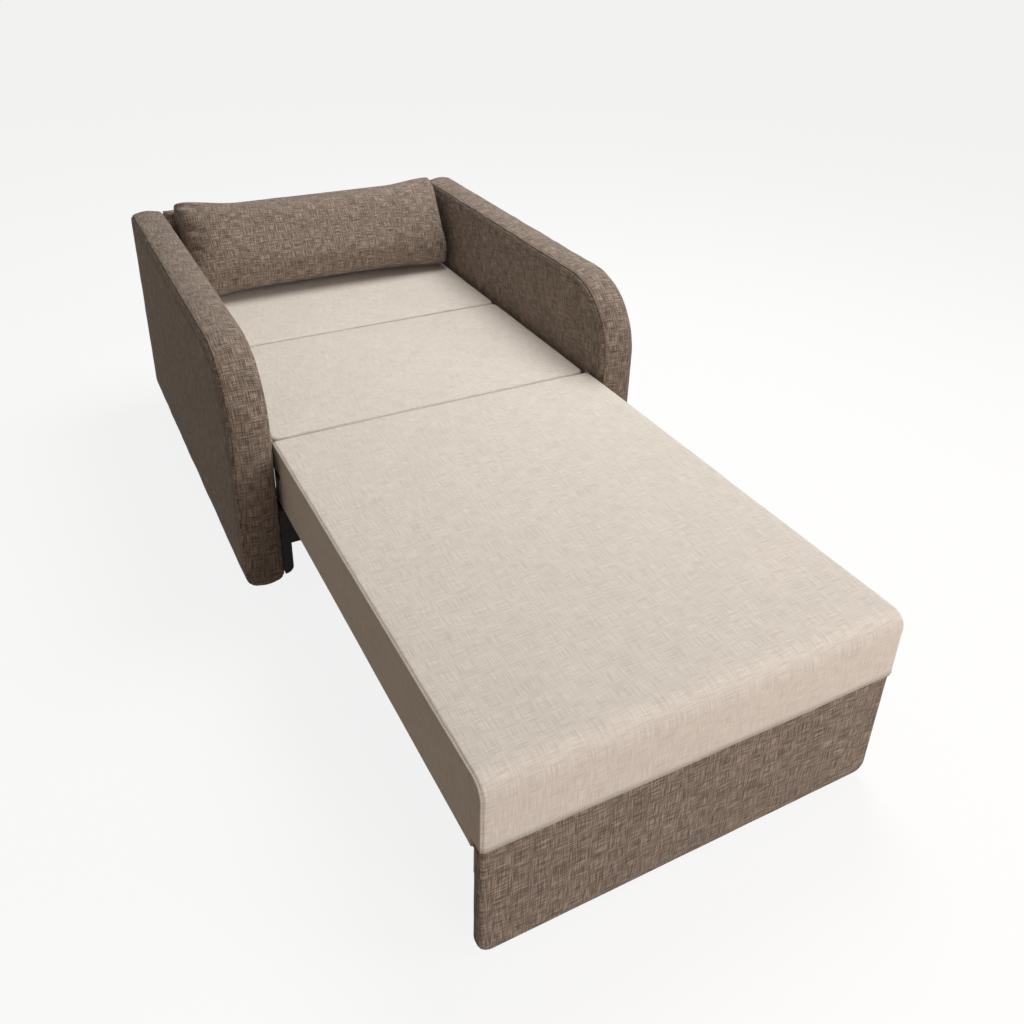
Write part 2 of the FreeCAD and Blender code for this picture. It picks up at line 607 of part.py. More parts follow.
# Pull-out: pad rolled over the front, apron and dark panel, on a frame of boards
seat_pad = new_body("seatPad")
sketch = new_sketch(seat_pad, "YZ_Plane")
rectangle(sketch, "Places.frontY", "Places.seatRearY", "Places.boardTopZ", "Places.topZ")
feature = pad(seat_pad, sketch, "Places.padWidth")
top = value("Places.topZ")
floor = value("Places.boardTopZ")
nose = value("Places.frontY")
rear = value("Places.seatRearY")
feature = round_edges(seat_pad, feature, lambda edge: lies(edge, y=nose, z=top),
                      "Sizes.noseRound")
feature = round_edges(seat_pad, feature, lambda edge: lies(edge, y=rear, z=top),
                      "Sizes.padRound")
width = value("Places.padWidth")
round_edges(seat_pad, feature,
            lambda edge: not lies(edge, z=floor) and (lies(edge, x=0) or lies(edge, x=width)),
            "Sizes.seamRound")
bind_base(seat_pad, x="-Places.padX")
finish(seat_pad, "seat_pad")

apron = new_body("seatApron")
sketch = new_sketch(apron, "XY_Plane")
rectangle(sketch, "-Places.padX", "Places.padX", "Places.frontY", "Places.frameY")
feature = pad(apron, sketch, "Places.apronHigh")
half = value("Places.padX")
round_edges(apron, feature,
            lambda edge: lies(edge, x=half, y=nose) or lies(edge, x=-half, y=nose),
            "Sizes.seamRound")
bind_base(apron, z="Places.apronLowZ")
finish(apron, "seat_apron")

front_panel = new_body("frontPanel")
sketch = new_sketch(front_panel, "XZ_Plane")
rectangle(sketch, "-Places.halfWidth", "Places.halfWidth", "Places.panelLowZ",
          "Places.apronLowZ")
feature = pad(front_panel, sketch, "Places.panelThick", -1)
reach = value("Places.halfWidth")
low = value("Places.panelLowZ")
feature = round_edges(front_panel, feature,
                      lambda edge: lies(edge, x=reach, z=low) or lies(edge, x=-reach, z=low),
                      "Sizes.panelCorner")
upper = value("Places.apronLowZ")
round_edges(front_panel, feature, lambda edge: lies(edge, y=0) and not lies(edge, z=upper),
            "Sizes.panelEdge")
bind_base(front_panel, y="Places.panelY")
finish(front_panel, "front_panel")

front_board = box("frontBoard", ("-Places.boardInnerX", "Places.frameY", "Sizes.frontBoardGap"),
                  ("Places.boardInnerX", "Places.frontBoardY", "Places.boardLowZ"))
finish(front_board, "front_board")
platform = box("seatPlatform", ("-Places.boardInnerX", "Places.frameY", "Places.boardLowZ"),
               ("Places.boardInnerX", "Places.seatRearY", "Places.boardTopZ"))
finish(platform, "seat_platform")

for side, sign in sides:
    board = side_box("seatSide" + side, sign, "Places.boardInnerX", "Places.halfWidth",
                     ("Places.frameY", "Places.skirtLowZ"),
                     ("Places.seatRearY", "Places.boardTopZ"))
    finish(board, "seat_side_" + side)
    batten = side_box("seatBatten" + side, sign, "Places.battenX - Sizes.battenWide",
                      "Places.battenX",
                      ("Places.frontBoardY", "Places.boardLowZ - Sizes.battenDeep"),
                      ("Places.seatRearY", "Places.boardLowZ"))
    finish(batten, "seat_batten_" + side)
    post = side_box("castorPost" + side, sign, "Places.castorX - Sizes.postWide / 2",
                    "Places.castorX + Sizes.postWide / 2",
                    ("Places.frontBoardY", "Places.forkTopZ"),
                    ("Places.frontBoardY + Sizes.postDeep", "Places.boardLowZ"))
    finish(post, "castor_post_" + side)

# Castors: a sheet fork with tapered cheeks, an axle and a wheel
for side, sign in sides:
    fork = new_body("castorFork" + side)
    sketch = new_sketch(fork, "YZ_Plane")
    polygon(sketch, (("Places.forkFrontY", "Places.forkTopZ"), ("Places.forkFrontY", "Places.slotTopZ"),
                     ("Places.eyeFrontY", "Places.wheelZ"), ("Places.eyeFrontY", "Places.forkLowZ"),
                     ("Places.eyeRearY", "Places.forkLowZ"), ("Places.eyeRearY", "Places.wheelZ"),
                     ("Places.forkRearY", "Places.slotTopZ"), ("Places.forkRearY", "Places.forkTopZ")))
    feature = pad(fork, sketch, "Places.forkWidth", sign)
    slot = new_sketch(fork, "YZ_Plane", ("" if sign > 0 else "-") + "Sizes.forkThick")
    rectangle(slot, "Places.forkFrontY", "Places.forkRearY", "Places.forkLowZ", "Places.slotTopZ")
    pocket(fork, slot, "Places.slotWidth", sign)
    bore = new_sketch(fork, "YZ_Plane")
    circle(bore, "axle", "Places.castorY", "Places.wheelZ", "Sizes.axleRadius")
    pocket(fork, bore, "Places.forkWidth", sign)
    bind_base(fork, x=("" if sign > 0 else "-") + "Places.forkStartX")
    finish(fork, "castor_fork_" + side)

    axle = side_rod("castorAxle" + side, sign, "Sizes.axleRadius",
                    "Places.forkStartX - Sizes.axleEnd", "Places.forkEndX + Sizes.axleEnd",
                    "Places.castorY", "Places.wheelZ")
    finish(axle, "castor_axle_" + side)

    wheel = new_body("castorWheel" + side)
    sketch = new_sketch(wheel, "YZ_Plane")
    circle(sketch, "tread", "Places.castorY", "Places.wheelZ", "Sizes.wheelRadius")
    circle(sketch, "bore", "Places.castorY", "Places.wheelZ", "Places.wheelBore")
    feature = pad(wheel, sketch, "Sizes.wheelWide", sign)
    rim = value("Sizes.wheelRadius")
    round_edges(wheel, feature,
                lambda edge: edge.Length > 5 * rim and len(edge.Vertexes) == 1,
                "Sizes.wheelEdge")
    bind_base(wheel, x=("" if sign > 0 else "-") + "Places.wheelStartX")
    finish(wheel, "castor_wheel_" + side)

# Loose pillow, leaning against the back
pillow = new_body("pillowBlock")
sketch = new_sketch(pillow, "YZ_Plane")
rectangle(sketch, "-Places.pillowHalfThick", "Places.pillowHalfThick",
          "-Places.pillowHalfHigh", "Places.pillowHalfHigh")
feature = pad(pillow, sketch, "Places.pillowWidth")
width = value("Places.pillowWidth")
feature = round_edges(pillow, feature,
                      lambda edge: not lies(edge, x=0) and not lies(edge, x=width),
                      "Sizes.pillowRound")
round_edges(pillow, feature, lambda edge: lies(edge, x=0) or lies(edge, x=width),
            "Sizes.pillowEnd")
pillow.Placement = Placement(Vector(), Rotation(Vector(1, 0, 0), -value("Sizes.pillowLean")))
pillow.setExpression("Placement.Rotation.Angle", "Sizes.pillowLean * 1deg")
bind_base(pillow, x="-Places.pillowX", y="Places.pillowY", z="Places.pillowZ")
finish(pillow, "pillow")

doc.recompute()

for obj in doc.Objects:
    if "Invalid" in obj.State or "Error" in obj.State:
        raise RuntimeError(obj.Name + " did not recompute")
for obj in subparts:
    if obj.Shape.isNull() or not obj.Shape.isValid():
        raise RuntimeError(obj.Label + " has no valid shape")

os.makedirs("parts", exist_ok=True)
for obj in subparts:
    obj.Shape.exportStep("parts/%s.step" % obj.Label)
    bounds = obj.Shape.BoundBox
    print("%-20s %d solid(s) %10.1f cm3  x %.1f..%.1f  y %.1f..%.1f  z %.1f..%.1f" % (
        obj.Label, len(obj.Shape.Solids), obj.Shape.Volume / 1000, bounds.XMin, bounds.XMax,
        bounds.YMin, bounds.YMax, bounds.ZMin, bounds.ZMax))
print("%d sub-parts" % len(subparts))
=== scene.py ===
import bmesh
import bpy
import math
from mathutils import Matrix, Vector, noise


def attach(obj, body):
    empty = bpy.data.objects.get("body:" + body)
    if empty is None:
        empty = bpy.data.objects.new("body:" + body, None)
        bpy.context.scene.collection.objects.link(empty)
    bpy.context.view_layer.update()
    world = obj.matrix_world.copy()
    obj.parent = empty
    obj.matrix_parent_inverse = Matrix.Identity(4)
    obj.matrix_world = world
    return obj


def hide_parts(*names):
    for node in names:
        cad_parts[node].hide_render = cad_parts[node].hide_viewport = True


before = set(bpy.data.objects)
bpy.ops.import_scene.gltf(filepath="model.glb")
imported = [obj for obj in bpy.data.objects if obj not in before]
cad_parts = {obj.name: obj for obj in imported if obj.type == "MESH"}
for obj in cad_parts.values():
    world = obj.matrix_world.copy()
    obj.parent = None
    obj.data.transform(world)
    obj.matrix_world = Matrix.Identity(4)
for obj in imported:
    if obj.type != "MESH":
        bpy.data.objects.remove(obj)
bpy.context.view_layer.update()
print("frame loaded:", len(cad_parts), "nodes")


# Colours are written as sRGB hex and turned to linear here
def hexColor(code):
    parts = [int(code[i:i + 2], 16) / 255 for i in (1, 3, 5)]
    return [p / 12.92 if p <= 0.04045 else ((p + 0.055) / 1.055) ** 2.4 for p in parts] + [1.0]


# Inputs go by name, or by number as in0, in1. A ramp's stops are places with their colours.
def addNode(tree, kind, settings=None, stops=(), **inputs):
    node = tree.nodes.new(kind)
    for key, item in (settings or {}).items():
        setattr(node, key, item)
    if stops:
        for element, (place, color) in zip(node.color_ramp.elements, stops):
            element.position = place
            element.color = color
    for key, item in inputs.items():
        socket = node.inputs[int(key[2:]) if key.startswith("in") else key.replace("_", " ")]
        if isinstance(item, bpy.types.NodeSocket):
            tree.links.new(item, socket)
        else:
            socket.default_value = item
    return node


def newMaterial(name):
    material = bpy.data.materials.new(name)
    material.use_nodes = True
    tree = material.node_tree
    return material, tree, tree.nodes["Principled BSDF"]


flatNoise = {"noise_dimensions": "2D"}
mixing = {"data_type": "RGBA"}
multiplying = {"data_type": "RGBA", "blend_type": "MULTIPLY"}
white = [1.0] * 4
cloudFrom, cloudTo = 0.3, 0.7

# Woven polyester linen: slubby threads cross at right angles, so short light and dark dashes
# show both ways. Threads of 1 mm would vanish at this distance, so the dashes are drawn wider.
weave = {
    "wanderScale": 14.0, "wander": (0.003, 0.003, 0), "threadShift": (3.7, 8.1), "threadDetail": 1.2,
    "slubFrom": 0.54, "slubTo": 0.74, "gapFrom": 0.46, "gapTo": 0.28, "cloudScale": 11.0,
    "relief": 0.0012, "sheenRoughness": 0.6,
}
brownLinen = {
    "gap": "#42372e", "yarn": "#7c6d61", "slub": "#b09f90", "length": 34, "width": 2.4,
    "gapShare": 0.75, "slubShare": 0.85, "mottle": 0.12, "bump": 0.5, "roughness": 0.94, "sheen": 0.08,
}
beigeLinen = {
    "gap": "#b4aca2", "yarn": "#d8d1c9", "slub": "#eae4dd", "length": 38, "width": 2.0,
    "gapShare": 0.36, "slubShare": 0.52, "mottle": 0.03, "bump": 0.2, "roughness": 0.9, "sheen": 0.05,
}


def linenMaterial(name, cloth, plane="UV"):
    material, tree, shader = newMaterial(name)
    coords = addNode(tree, "ShaderNodeTexCoord")
    if plane == "UV":
        across = coords.outputs["UV"]
    else:
        split = addNode(tree, "ShaderNodeSeparateXYZ", in0=coords.outputs["Object"])
        across = addNode(tree, "ShaderNodeCombineXYZ", in0=split.outputs[plane[0]],
                         in1=split.outputs[plane[1]]).outputs[0]
    wander = addNode(tree, "ShaderNodeTexNoise", flatNoise, Vector=across, Scale=weave["wanderScale"])
    bend = addNode(tree, "ShaderNodeVectorMath", {"operation": "MULTIPLY_ADD"},
                   in0=wander.outputs["Color"], in1=weave["wander"], in2=across)
    threads = []
    shiftX, shiftY = weave["threadShift"]
    for turn, (along, thin) in enumerate(((cloth["length"], cloth["width"]),
                                          (cloth["width"], cloth["length"]))):
        stretched = addNode(tree, "ShaderNodeMapping", in0=bend.outputs[0],
                            in1=(turn * shiftX, turn * shiftY, 0), in3=(1000 / along, 1000 / thin, 1))
        thread = addNode(tree, "ShaderNodeTexNoise", flatNoise, Vector=stretched.outputs[0],
                         Scale=1.0, Detail=weave["threadDetail"], Roughness=0.5)
        threads.append(thread.outputs["Fac"])
    high = addNode(tree, "ShaderNodeMath", {"operation": "MAXIMUM"}, in0=threads[0], in1=threads[1])
    low = addNode(tree, "ShaderNodeMath", {"operation": "MINIMUM"}, in0=threads[0], in1=threads[1])
    slubs = addNode(tree, "ShaderNodeMapRange", in0=high.outputs[0], in1=weave["slubFrom"],
                    in2=weave["slubTo"], in3=0.0, in4=cloth["slubShare"])
    gaps = addNode(tree, "ShaderNodeMapRange", in0=low.outputs[0], in1=weave["gapFrom"],
                   in2=weave["gapTo"], in3=0.0, in4=cloth["gapShare"])
    yarns = addNode(tree, "ShaderNodeMix", mixing, in0=slubs.outputs[0], in6=hexColor(cloth["yarn"]),
                    in7=hexColor(cloth["slub"]))
    shaded = addNode(tree, "ShaderNodeMix", mixing, in0=gaps.outputs[0], in6=yarns.outputs[2],
                     in7=hexColor(cloth["gap"]))
    cloud = addNode(tree, "ShaderNodeTexNoise", flatNoise, Vector=across, Scale=weave["cloudScale"],
                    Detail=3.0)
    dull = [1 - cloth["mottle"]] * 3 + [1.0]
    mottle = addNode(tree, "ShaderNodeValToRGB", in0=cloud.outputs["Fac"],
                     stops=((cloudFrom, dull), (cloudTo, white)))
    color = addNode(tree, "ShaderNodeMix", multiplying, in0=1.0, in6=shaded.outputs[2],
                    in7=mottle.outputs["Color"])
    tree.links.new(color.outputs[2], shader.inputs["Base Color"])
    height = addNode(tree, "ShaderNodeMath", {"operation": "SUBTRACT"}, in0=slubs.outputs[0],
                     in1=gaps.outputs[0])
    bump = addNode(tree, "ShaderNodeBump", Height=height.outputs[0], Strength=cloth["bump"],
                   Distance=weave["relief"])
    tree.links.new(bump.outputs[0], shader.inputs["Normal"])
    shader.inputs["Roughness"].default_value = cloth["roughness"]
    shader.inputs["Sheen Weight"].default_value = cloth["sheen"]
    shader.inputs["Sheen Roughness"].default_value = weave["sheenRoughness"]
    return material


brownCloth = linenMaterial("wovenBrownLinen", brownLinen)
beigeCloth = linenMaterial("wovenBeigeLinen", beigeLinen)
# The brown linen darkened to near black: painted shade for the rails and boards in the shadow under the
# mattress
shadedBrownLinen = dict(brownLinen, gap="#120e0c", yarn="#1e1815", slub="#2a221e", bump=0.2)
shadedLinenAlongY = linenMaterial("shadedBrownLinenYZ", shadedBrownLinen, "YZ")
shadedLinenAlongX = linenMaterial("shadedBrownLinenXZ", shadedBrownLinen, "XZ")

# Birch plywood and planed pine: straight pale grain, slightly darker late wood
wood = {
    "alongGrain": 6, "acrossGrain": 160, "detail": 6.0, "roughGrain": 0.6, "waver": 0.4,
    "darkFrom": 0.32, "lightTo": 0.62, "bump": 0.25, "relief": 0.0006, "roughness": 0.62,
}


def woodMaterial(name, light, dark, long):
    material, tree, shader = newMaterial(name)
    coords = addNode(tree, "ShaderNodeTexCoord")
    scale = [wood["alongGrain"] if axis == long else wood["acrossGrain"] for axis in "XYZ"]
    stretched = addNode(tree, "ShaderNodeMapping", in0=coords.outputs["Object"], Scale=scale)
    grain = addNode(tree, "ShaderNodeTexNoise", Vector=stretched.outputs[0], Scale=1.0,
                    Detail=wood["detail"], Roughness=wood["roughGrain"], Distortion=wood["waver"])
    color = addNode(tree, "ShaderNodeValToRGB", in0=grain.outputs["Fac"],
                    stops=((wood["darkFrom"], hexColor(dark)), (wood["lightTo"], hexColor(light))))
    tree.links.new(color.outputs["Color"], shader.inputs["Base Color"])
    bump = addNode(tree, "ShaderNodeBump", Height=grain.outputs["Fac"], Strength=wood["bump"],
                   Distance=wood["relief"])
    tree.links.new(bump.outputs[0], shader.inputs["Normal"])
    shader.inputs["Roughness"].default_value = wood["roughness"]
    return material


birchPly = woodMaterial("birchPlywood", "#dcc19a", "#b8956a", "X")
pineAlongY = woodMaterial("planedPineY", "#e0c293", "#bd9560", "Y")
pineAlongX = woodMaterial("planedPineX", "#e0c293", "#bd9560", "X")
pineUpright = woodMaterial("planedPineZ", "#e0c293", "#bd9560", "Z")

# Zinc plated steel: a grey metal with cloudy spangle that varies its gloss
steel = {"dark": "#6c6d70", "light": "#8f9093", "spangle": 140.0, "glossy": 0.42, "dull": 0.6}
zinc, tree, shader = newMaterial("zincPlatedSteel")
coords = addNode(tree, "ShaderNodeTexCoord")
cloud = addNode(tree, "ShaderNodeTexNoise", Vector=coords.outputs["Object"], Scale=steel["spangle"],
                Detail=3.0)
color = addNode(tree, "ShaderNodeValToRGB", in0=cloud.outputs["Fac"],
                stops=((cloudFrom, hexColor(steel["dark"])), (cloudTo, hexColor(steel["light"]))))
tree.links.new(color.outputs["Color"], shader.inputs["Base Color"])
gloss = addNode(tree, "ShaderNodeMapRange", in0=cloud.outputs["Fac"], in3=steel["glossy"],
                in4=steel["dull"])
tree.links.new(gloss.outputs[0], shader.inputs["Roughness"])
shader.inputs["Metallic"].default_value = 1.0

# Moulded polypropylene and nylon: faint grain from the mould takes the edge off the gloss
plastic = {
    "grain": 900.0, "bump": 0.15, "relief": 0.0004, "cloud": 30.0, "dull": 0.86, "specular": 0.3,
}


def plasticMaterial(name, code, roughness):
    material, tree, shader = newMaterial(name)
    coords = addNode(tree, "ShaderNodeTexCoord")
    grain = addNode(tree, "ShaderNodeTexNoise", Vector=coords.outputs["Object"],
                    Scale=plastic["grain"], Detail=2.0)
    bump = addNode(tree, "ShaderNodeBump", Height=grain.outputs["Fac"], Strength=plastic["bump"],
                   Distance=plastic["relief"])
    tree.links.new(bump.outputs[0], shader.inputs["Normal"])
    cloud = addNode(tree, "ShaderNodeTexNoise", Vector=coords.outputs["Object"],
                    Scale=plastic["cloud"])
    shade = addNode(tree, "ShaderNodeValToRGB", in0=cloud.outputs["Fac"],
                    stops=((cloudFrom, [plastic["dull"]] * 3 + [1.0]), (cloudTo, white)))
    mixed = addNode(tree, "ShaderNodeMix", multiplying, in0=1.0, in6=hexColor(code),
                    in7=shade.outputs["Color"])
    tree.links.new(mixed.outputs[2], shader.inputs["Base Color"])
    shader.inputs["Roughness"].default_value = roughness
    shader.inputs["Specular IOR Level"].default_value = plastic["specular"]
    return material


blackPlastic = plasticMaterial("mouldedPolypropylene", "#1c1c1d", 0.55)
whiteNylon = plasticMaterial("extrudedNylon", "#e4e2da", 0.4)
print("materials made")

# side_rail, front_stretcher and front_board take the brown linen darkened to near black as painted shade
nodeFinish = (
    ("arm_sheet", birchPly), ("arm_frame", birchPly), ("back_board", birchPly),
    ("side_rail", shadedLinenAlongY), ("front_stretcher", shadedLinenAlongX), ("middle_stretcher", pineAlongX),
    ("rear_stretcher", pineAlongX), ("bearer", pineAlongY), ("glide_strip", whiteNylon),
    ("foot_", blackPlastic), ("rear_pivot", zinc), ("rear_board", birchPly), ("middle_board", birchPly),
    ("rear_plate", zinc), ("middle_plate", zinc), ("seat_plate", zinc), ("middle_packer", zinc),
    ("elbow_pin", zinc), ("seam_pin", zinc), ("seat_side", pineAlongY), ("front_board", shadedLinenAlongX),
    ("seat_platform", birchPly), ("seat_batten", pineAlongY), ("castor_post", pineUpright),
    ("castor_fork", zinc), ("castor_axle", zinc), ("castor_wheel", blackPlastic),
)
for nodeName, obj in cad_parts.items():
    for start, material in nodeFinish:
        if nodeName.startswith(start):
            for slotOfNode in obj.material_slots:
                slotOfNode.material = material
            break


# A closed outline with rounded corners: points, outward normals and length along it, in metres
def roundedOutline(corners, radii, step, arcStep=0.008):
    points, normals = [], []
    count = len(corners)
    for i in range(count):
        here = Vector(corners[i])
        before = (here - Vector(corners[i - 1])).normalized()
        after = (Vector(corners[(i + 1) % count]) - here).normalized()
        radius = radii[i]
        if radius <= 0:
            points.append(here)
            both = before + after
            normals.append(Vector((both.y, -both.x)).normalized())
            continue
        turn = -before.angle_signed(after)
        reach = radius * math.tan(abs(turn) / 2)
        center = here - before * reach + Vector((-before.y, before.x)) * radius
        steps = max(5, math.ceil(radius * abs(turn) / arcStep))
        for k in range(steps + 1):
            normal = Vector((before.y, -before.x))
            normal.rotate(Matrix.Rotation(turn * k / steps, 2))
            points.append(center + normal * radius)
            normals.append(normal)
    dense, facing = [], []
    for i, point in enumerate(points):
        following = points[(i + 1) % len(points)]
        edge = (following - point).normalized()
        pieces = max(1, round((following - point).length / step))
        for k in range(pieces):
            dense.append(point.lerp(following, k / pieces))
            facing.append(Vector((edge.y, -edge.x)) if k else normals[i])
    lengths = [0.0]
    for i in range(len(dense)):
        lengths.append(lengths[-1] + (dense[(i + 1) % len(dense)] - dense[i]).length)
    return dense, facing, lengths


def boxCorners(lowA, lowB, highA, highB):
    return (lowA, lowB), (highA, lowB), (highA, highB), (lowA, highB)


def newObject(name, mesh):
    data = bpy.data.meshes.new(name)
    mesh.to_mesh(data)
    mesh.free()
    obj = bpy.data.objects.new(name, data)
    bpy.context.scene.collection.objects.link(obj)
    return obj


# What all upholstered slabs share. A slab's own dictionary adds to it or replaces a value.
# Angles are those of the rings round its edge, seamSteps are shares of the seam's depth, and
# from faceFrom of the edge's width on, roughness lifts the cloth instead of pushing it outwards.
slab = {
    "angles": (0, 12, 24, 36, 48, 60, 72, 84, 90), "seamAngle": None, "bandEnd": 45,
    "seamShares": (-1, -0.45, 0, 0.45, 1), "seamSteps": ((0.2, 1.0), (0.6, 0.4), (1.1, -0.1)),
    "ringStep": 0.006, "closing": 0.985, "faceFrom": 0.8, "fade": 0.012, "crown": 0.0, "seed": 0,
    "roughScale": 0.09, "fineShare": 0.4, "fineScale": 2.7, "bandRough": 0.0, "bandScale": 0.03,
    "faceShift": (3, 5),
}


# Rings of a slab from its low face round the edge to its high face: inset from the outline,
# height, share of the way to the spine, whether the band's cloth covers it, and which face
def slabRings(shape):
    thick, edge, seam = shape["thickness"], shape["edge"], shape["seamAngle"]
    angles, bandEnd = shape["angles"], shape["bandEnd"]
    if seam is not None:
        wide, bandEnd = shape["seamWide"], seam
        angles = sorted({angle for angle in angles if abs(angle - seam) > wide}
                        | {seam + wide * share for share in shape["seamShares"]})
    side = []
    for angle in angles:
        sink = 0.0
        if seam is not None:
            off = abs(angle - seam) / wide
            sink = shape["seamDepth"] * next((s for reach, s in shape["seamSteps"] if off < reach), 0)
        turn = math.radians(angle)
        inset = edge * (1 - math.cos(turn)) + sink * math.cos(turn)
        height = thick / 2 - edge + edge * math.sin(turn) - sink * math.sin(turn)
        side.append((inset, height, 0.0, angle <= bandEnd))
    inset = side[-1][0]
    while inset + shape["ringStep"] < shape["shallow"]:
        inset += shape["ringStep"]
        side.append((inset, thick / 2, 0.0, False))
    for k in range(shape["rings"] + 1):
        side.append((shape["shallow"], thick / 2, shape["closing"] * k / shape["rings"], False))
    straight = thick - 2 * edge
    pieces = shape["bandPieces"]
    band = [(0.0, -straight / 2 + straight * k / pieces, 0.0, True) for k in range(1, pieces)]
    return ([(i, -h, deep, isBand, -1) for i, h, deep, isBand in reversed(side)]
            + [(i, h, deep, isBand, 0) for i, h, deep, isBand in band]
            + [(i, h, deep, isBand, 1) for i, h, deep, isBand in side])


# The upholstered slab behind most pieces: an outline, rounded and seamed edges, swollen faces.
# The faces close on a spine, a line given by its two ends and its level.
def paddedSlab(name, outline, place, settings):
    shape = {**slab, **settings}
    points, normals, lengths = outline
    thick, edge = shape["thickness"], shape["edge"]
    rings = slabRings(shape)
    spineFrom, spineTo, spineLevel = shape["spine"]
    lowA, highA = min(p.x for p in points), max(p.x for p in points)
    lowB, highB = min(p.y for p in points), max(p.y for p in points)

    def spine(spot):
        return Vector((min(max(spot.x, spineFrom), spineTo), spineLevel))

    def inward(i, inset, deep):
        spot = points[i] - normals[i] * inset
        return spot.lerp(spine(spot), deep)

    mesh = bmesh.new()
    uvLayer = mesh.loops.layers.uv.new("weave")
    rows, flat = [], []
    spread = 0.0
    for k, (inset, height, deep, isBand, facing) in enumerate(rings):
        if k:
            spread += math.hypot(inset - rings[k - 1][0], height - rings[k - 1][1])
        crown = 0.0
        if isBand and not facing:
            crown = shape["crown"] * max(0.0, 1 - (2 * height / (thick - 2 * edge)) ** 2)
        swell = {-1: shape["swellLow"], 0: 0.0, 1: shape["swellHigh"]}[facing]
        row = []
        for point, normal in zip(points, normals):
            spot = point - normal * (inset - crown)
            depth = inset + deep * (spine(spot) - spot).length
            spot = spot.lerp(spine(spot), deep)
            fade = 1 - math.exp(-max(0.0, depth - edge) / shape["fade"])
            for gap in (spot.x - lowA, highA - spot.x, spot.y - lowB, highB - spot.y):
                fade *= 1 - math.exp(-max(0.0, gap - edge) / shape["swellReach"])
            rise = height + facing * swell * fade
            sample = Vector((spot.x, spot.y, rise)) / shape["roughScale"] + Vector((shape["seed"], 0, 0))
            drift = shape["rough"] * (noise.noise(sample)
                                      + shape["fineShare"] * noise.noise(sample * shape["fineScale"]))
            if facing and inset > edge * shape["faceFrom"]:
                rise += facing * drift
            else:
                fine = noise.noise(Vector((spot.x, spot.y, rise)) / shape["bandScale"])
                spot = spot + normal * (drift + shape["bandRough"] * fine)
            row.append(mesh.verts.new(place(spot.x, spot.y, rise)))
        rows.append(row)
        flat.append(spread)

    shiftX, shiftY = shape["faceShift"]
    count = len(points)
    for k in range(len(rows) - 1):
        isBand = rings[k][3] and rings[k + 1][3]
        for i in range(count):
            j = (i + 1) % count
            face = mesh.faces.new((rows[k][i], rows[k][j], rows[k + 1][j], rows[k + 1][i]))
            face.smooth = True
            ends = ((i, k), (j, k), (j, k + 1), (i, k + 1))
            for loop, (a, b) in zip(face.loops, ends):
                if isBand:
                    loop[uvLayer].uv = (lengths[i + 1] if a == j else lengths[i], flat[b])
                else:
                    spot = inward(a, rings[b][0], rings[b][2])
                    loop[uvLayer].uv = (spot.x + shiftX, spot.y + shiftY)
    for row, ordered in ((rows[0], rows[0][::-1]), (rows[-1], rows[-1])):
        face = mesh.faces.new(ordered)
        face.smooth = True
        for loop in face.loops:
            spot = inward(row.index(loop.vert), shape["shallow"], shape["closing"])
            loop[uvLayer].uv = (spot.x + shiftX, spot.y + shiftY)
    bmesh.ops.recalc_face_normals(mesh, faces=mesh.faces)
    return newObject(name, mesh)


def finishPiece(obj, material, body, slotName, fill, *nodes):
    obj.data.materials.append(material)
    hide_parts(*nodes)
    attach(obj, body)


# Arms: side panels and a band that runs round the edge, joined by seams on the edge's curve.
# The lower end rounds in from both sides, and the band's join is a fine dip across its top.
arm = {
    "frontY": -0.0665, "rearY": 1.0355, "lowZ": 0.0395, "topZ": 0.611, "innerX": 0.4125,
    "footRound": 0.031, "rearRound": 0.052, "crownRound": 0.026, "frontRound": 0.178, "step": 0.009,
    "lowerSoft": 0.050, "lowerDraw": 0.030, "innerShare": 0.12,
    "joinY": 0.350, "joinFrom": 0.591, "joinDepth": 0.0016, "joinWide": 0.003, "seed": 7,
    "fill": 0.9,
    "shape": {"thickness": 0.0895, "edge": 0.018, "seamAngle": 50, "seamDepth": 0.0034,
              "seamWide": 9, "rings": 20, "shallow": 0.024, "spine": (0.24, 0.73, 0.32525),
              "swellLow": 0.0022, "swellHigh": 0.0035, "swellReach": 0.05, "crown": 0.003,
              "rough": 0.0011, "roughScale": 0.085, "bandPieces": 8, "bandRough": 0.0011,
              "bandScale": 0.032},
}
for side, sign in (("Left", -1), ("Right", 1)):
    thick = arm["shape"]["thickness"]
    centerX = sign * (arm["innerX"] + thick / 2)
    outline = roundedOutline(boxCorners(arm["frontY"], arm["lowZ"], arm["rearY"], arm["topZ"]),
                             (arm["footRound"], arm["rearRound"], arm["crownRound"], arm["frontRound"]),
                             arm["step"])
    obj = paddedSlab("armUpholstery" + side, outline,
                     lambda a, b, h: Vector((centerX + sign * h, a, b)),
                     {**arm["shape"], "seed": arm["seed"] * sign})
    for vert in obj.data.vertices:
        lift = min(1, 1 - (vert.co.z - arm["lowZ"]) / arm["lowerSoft"])
        if lift > 0:
            draw = arm["lowerDraw"] * (1 - math.sqrt(1 - lift ** 2))
            if (vert.co.x - centerX) * sign <= 0:
                draw *= arm["innerShare"]
            vert.co.x = centerX + (vert.co.x - centerX) * (1 - draw * 2 / thick)
        if vert.co.z > arm["joinFrom"]:
            off = abs(vert.co.y - arm["joinY"])
            vert.co.z -= arm["joinDepth"] * math.exp(-(off / arm["joinWide"]) ** 2)
    finishPiece(obj, brownCloth, "base", "arm_fabric", arm["fill"], "arm_cover_" + side.lower())
print("arms made")

